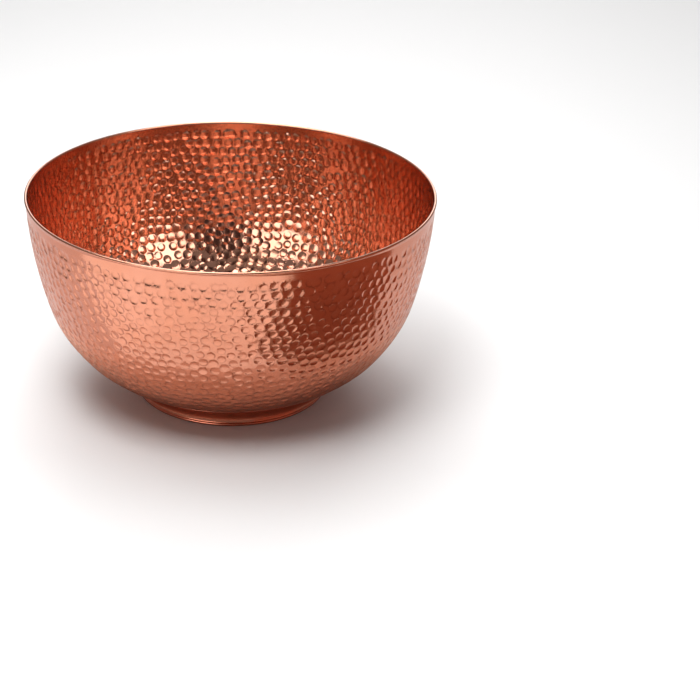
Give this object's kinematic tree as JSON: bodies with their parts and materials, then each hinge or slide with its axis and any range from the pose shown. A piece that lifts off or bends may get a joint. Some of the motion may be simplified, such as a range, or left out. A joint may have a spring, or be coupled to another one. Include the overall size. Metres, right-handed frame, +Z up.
{
  "type": "hammered copper bowl",
  "caption": "Deep round hammered copper bowl with a rolled lip, a flat floor and a soldered foot ring.",
  "frame": {"origin": "centre of the circle that the foot ring stands on", "axes": "+Z up along the bowl's axis, out of its mouth; the bowl is round, so +X and +Y are equal"},
  "size_m": [0.3, 0.3, 0.158],
  "materials": {
    "hammered_copper": "polished copper sheet, hand hammered inside and out, thin clear lacquer",
    "polished_copper": "spun copper, polished, fine turning lines",
    "solder": "dull grey soft solder, wiped by hand"
  },
  "bodies": {
    "root": {"bowl_body": "hammered_copper", "foot_ring": "polished_copper", "solder_seam": "solder"}
  },
  "joints": []
}
